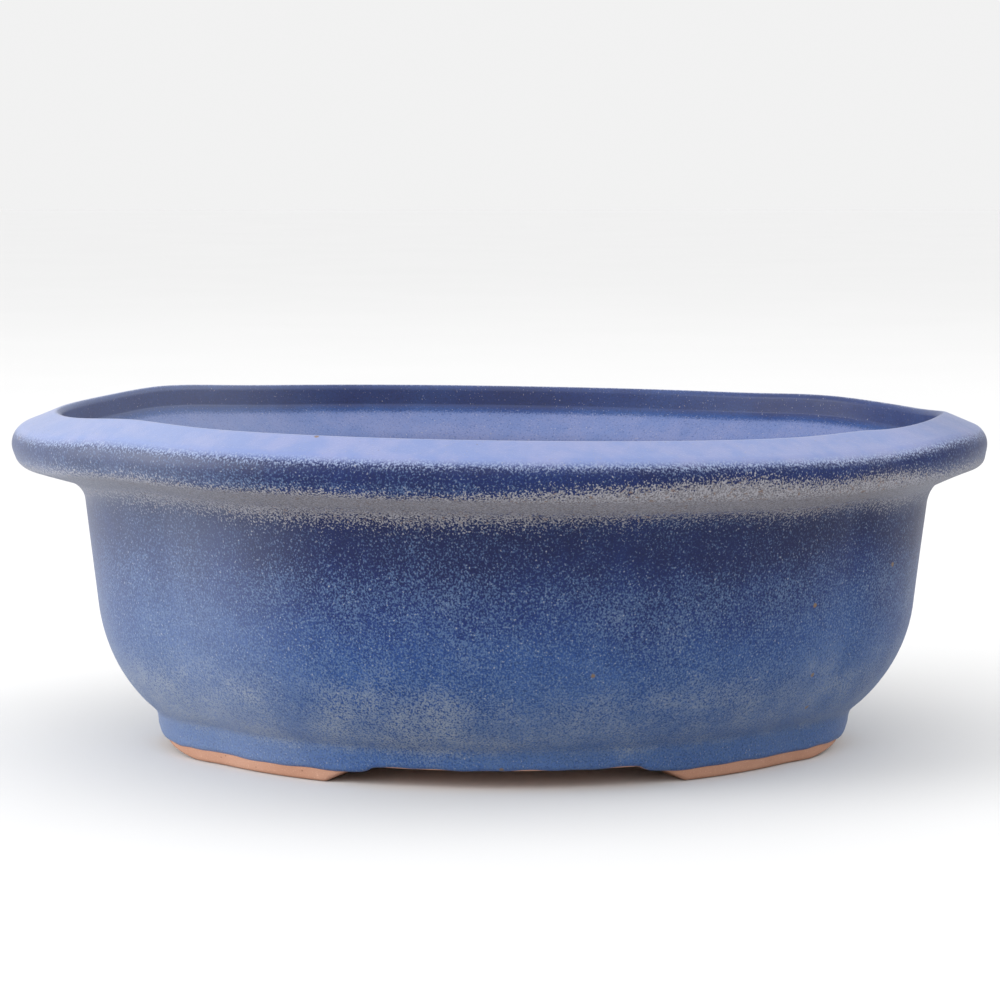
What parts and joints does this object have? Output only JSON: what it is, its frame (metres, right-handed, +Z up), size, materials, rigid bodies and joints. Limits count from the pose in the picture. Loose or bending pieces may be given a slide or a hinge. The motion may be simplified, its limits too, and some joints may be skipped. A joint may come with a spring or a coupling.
{
  "type": "bonsai pot",
  "caption": "Lobed oval bonsai pot in speckled blue glaze with a rolled lip, a full belly, arched corner feet of bare clay and drained floor.",
  "frame": {"origin": "on the table under the middle of the pot: the centre of the overall box at the bottom of the feet", "axes": "+X along the length to the right, +Y across to the back, +Z up"},
  "size_m": [0.3, 0.24, 0.1041],
  "materials": {
    "blue_glaze": "semi-gloss cobalt glaze, fine pale specks, a matt grey-beige band under the lip",
    "floor_clay": "bare fired clay, matt, fine grain",
    "wall_clay": "bare fired clay, matt, fine grain",
    "lip_clay": "bare fired clay, matt, under the glaze",
    "foot_clay": "bare fired clay, pinkish terracotta, rubbed smooth"
  },
  "bodies": {
    "root": {"floor_slab": "floor_clay", "wall_front": "wall_clay", "wall_back": "wall_clay", "wall_left": "wall_clay", "wall_right": "wall_clay", "lip_front": "lip_clay", "lip_back": "lip_clay", "lip_left": "lip_clay", "lip_right": "lip_clay", "foot_front_left": "foot_clay", "foot_front_right": "foot_clay", "foot_back_left": "foot_clay", "foot_back_right": "foot_clay", "glaze_coat": "blue_glaze"}
  },
  "joints": []
}
